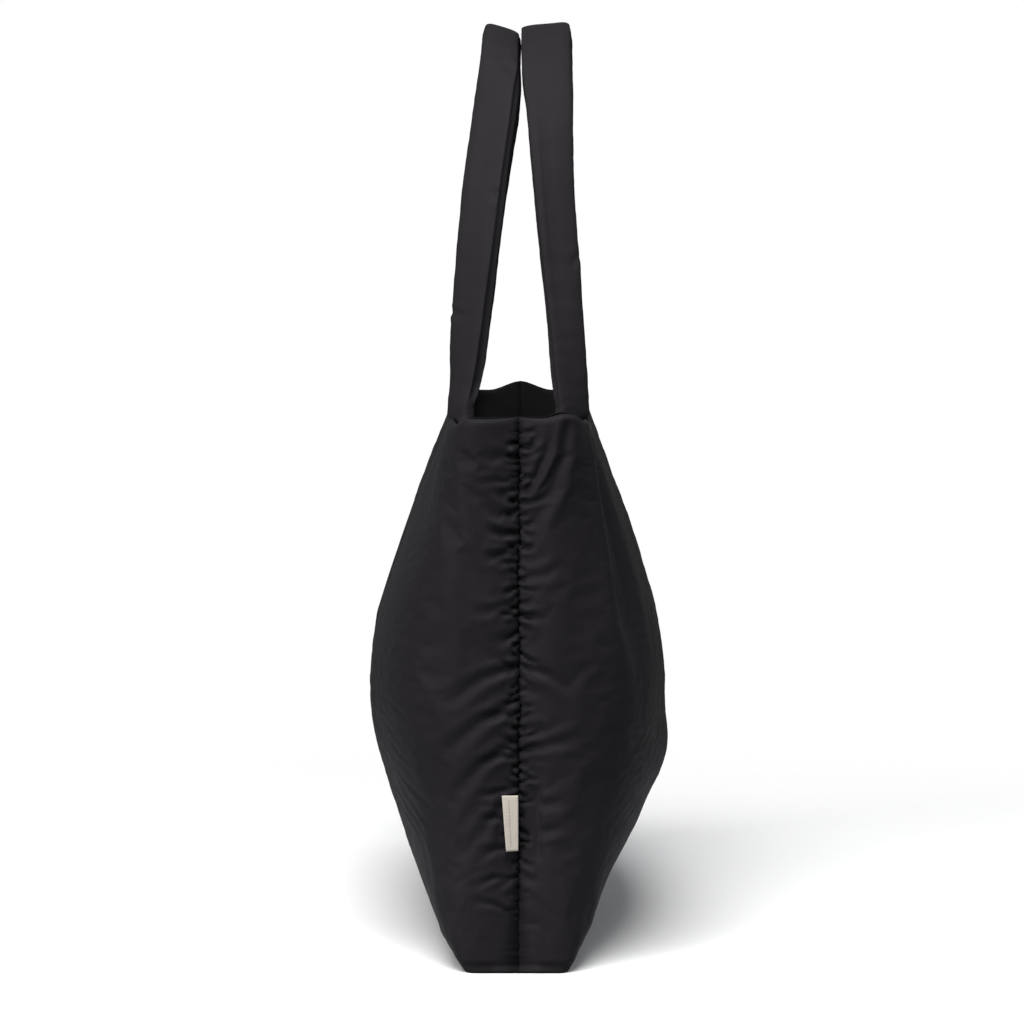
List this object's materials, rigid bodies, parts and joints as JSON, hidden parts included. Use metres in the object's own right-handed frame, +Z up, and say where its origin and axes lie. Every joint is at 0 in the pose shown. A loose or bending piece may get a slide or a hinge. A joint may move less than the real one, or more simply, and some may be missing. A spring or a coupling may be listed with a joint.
{
  "type": "padded tote bag",
  "caption": "Padded soft shoulder bag with an open mouth, a narrow flat base, two padded loop handles that swing from the rim and a folded woven label in the side seam.",
  "frame": {"origin": "middle of the flat base, on the floor it stands on", "axes": "+X along the bag's length towards the side seam that carries the label, +Y across its depth, +Z up towards the handles"},
  "size_m": [0.5674, 0.2232, 0.6946],
  "materials": {
    "black_nylon": "matte padded nylon with a soft sheen",
    "lining_cloth": "matte woven lining",
    "polyester_wadding": "soft fibre wadding",
    "handle_foam": "soft foam strip",
    "webbing": "woven tape",
    "cream_ribbon": "matte woven ribbon",
    "plated_steel": "dark plated satin",
    "board_plastic": "matte"
  },
  "bodies": {
    "bag": {"outer_panel_left": "black_nylon", "outer_panel_right": "black_nylon", "wadding_left": "polyester_wadding", "wadding_right": "polyester_wadding", "lining_left": "lining_cloth", "lining_right": "lining_cloth", "rim_facing_left": "black_nylon", "rim_facing_right": "black_nylon", "handle_anchor_left_front": "webbing", "handle_anchor_left_rear": "webbing", "handle_anchor_right_front": "webbing", "handle_anchor_right_rear": "webbing", "seam_tape_front": "webbing", "seam_tape_rear": "webbing", "slip_pocket": "lining_cloth", "snap_socket": "plated_steel", "snap_stud": "plated_steel", "base_board": "board_plastic"},
    "handle_left": {"handle_cover_left": "black_nylon", "handle_core_left": "handle_foam"},
    "handle_right": {"handle_cover_right": "black_nylon", "handle_core_right": "handle_foam"},
    "label": {"side_label": "cream_ribbon"}
  },
  "joints": [
    {"name": "handle_left_swing", "type": "hinge", "parent": "bag", "child": "handle_left", "pos_m": [0, -0.0565, 0.4005], "axis": [1, 0, 0], "range_deg": [0, 165]},
    {"name": "handle_right_swing", "type": "hinge", "parent": "bag", "child": "handle_right", "pos_m": [0, 0.0565, 0.4005], "axis": [-1, 0, 0], "range_deg": [0, 165]},
    {"name": "label_flap", "type": "hinge", "parent": "bag", "child": "label", "pos_m": [0.26455, -0.0006, 0.109], "axis": [0, 0, 1], "range_deg": [0, 170]}
  ]
}
